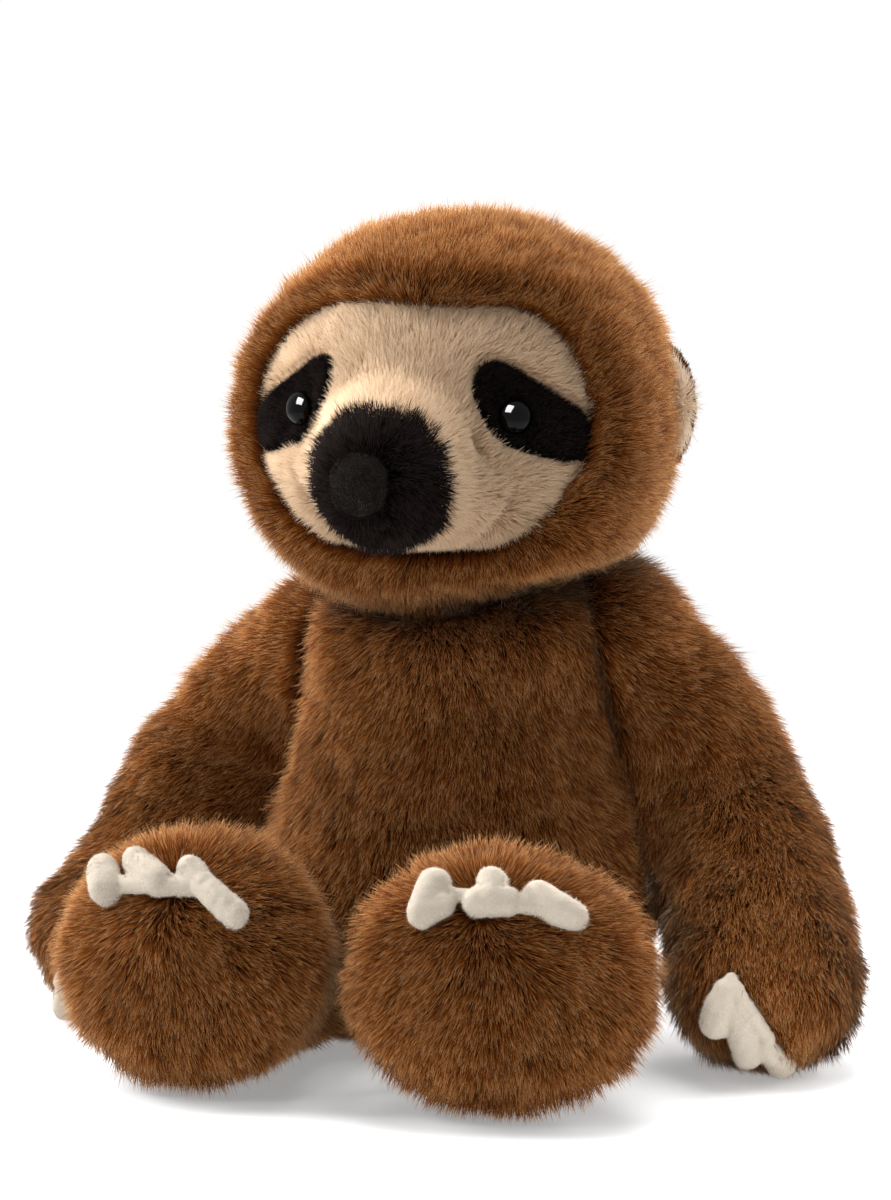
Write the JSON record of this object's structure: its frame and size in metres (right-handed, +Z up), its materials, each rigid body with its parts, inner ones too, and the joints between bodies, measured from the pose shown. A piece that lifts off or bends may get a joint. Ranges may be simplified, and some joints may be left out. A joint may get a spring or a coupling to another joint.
{
  "type": "plush sloth",
  "caption": "Seated long-pile plush sloth with a cream face, black muzzle and eye patches, velour claws, a turning and nodding head, lifting arms and swinging legs.",
  "frame": {"origin": "Middle of the overall box on the floor, under the front of the seat.", "axes": "X from the toy's right to its left, Y from front to back, Z up. The face looks along -Y."},
  "size_m": [0.3032, 0.2174, 0.2865],
  "materials": {
    "plush": "long brown pile with golden tips",
    "cream": "short cream pile",
    "black_plush": "short black pile",
    "velvet": "matte charcoal velvet",
    "velour": "off-white velour",
    "gloss_black": "polished",
    "fibre": "loose polyester fibre",
    "calico": "plain woven bag filled with pellets",
    "nylon": "moulded"
  },
  "bodies": {
    "torso": {"body_cover": "plush", "body_stuffing": "fibre", "seat_pellet_bag": "calico"},
    "neck_ball": {"neck": "plush"},
    "head": {"head_hood": "plush", "face_panel": "cream", "muzzle_patch": "black_plush", "nose": "velvet", "head_stuffing": "fibre", "eye_patch_left": "black_plush", "eye_patch_right": "black_plush", "eye_left": "gloss_black", "eye_right": "gloss_black", "eye_washer_left": "nylon", "eye_washer_right": "nylon", "ear_left": "plush", "ear_right": "plush", "ear_lining_left": "cream", "ear_lining_right": "cream"},
    "arm_left": {"arm_cover_left": "plush", "arm_stuffing_left": "fibre", "hand_claws_left": "velour"},
    "leg_left": {"leg_cover_left": "plush", "foot_sole_left": "plush", "leg_stuffing_left": "fibre", "foot_pellet_bag_left": "calico", "foot_claws_left": "velour"},
    "arm_right": {"arm_cover_right": "plush", "arm_stuffing_right": "fibre", "hand_claws_right": "velour"},
    "leg_right": {"leg_cover_right": "plush", "foot_sole_right": "plush", "leg_stuffing_right": "fibre", "foot_pellet_bag_right": "calico", "foot_claws_right": "velour"}
  },
  "joints": [
    {"name": "head_turn", "type": "hinge", "parent": "torso", "child": "neck_ball", "pos_m": [0, 0.03923, 0.158], "axis": [0, 0, 1], "range_deg": [-25, 25]},
    {"name": "head_nod", "type": "hinge", "parent": "neck_ball", "child": "head", "pos_m": [0, 0.03923, 0.158], "axis": [1, 0, 0], "range_deg": [-6, 6]},
    {"name": "shoulder_lift_left", "type": "hinge", "parent": "torso", "child": "arm_left", "pos_m": [0.05, 0.05323, 0.142], "axis": [0, 1, 0], "range_deg": [-35, 0]},
    {"name": "shoulder_lift_right", "type": "hinge", "parent": "torso", "child": "arm_right", "pos_m": [-0.05, 0.05323, 0.142], "axis": [0, 1, 0], "range_deg": [0, 35]},
    {"name": "hip_swing_left", "type": "hinge", "parent": "torso", "child": "leg_left", "pos_m": [0.038, 0.00923, 0.031], "axis": [1, 0, 0], "range_deg": [-20, 35]},
    {"name": "hip_swing_right", "type": "hinge", "parent": "torso", "child": "leg_right", "pos_m": [-0.038, 0.00923, 0.031], "axis": [1, 0, 0], "range_deg": [-20, 35]}
  ]
}
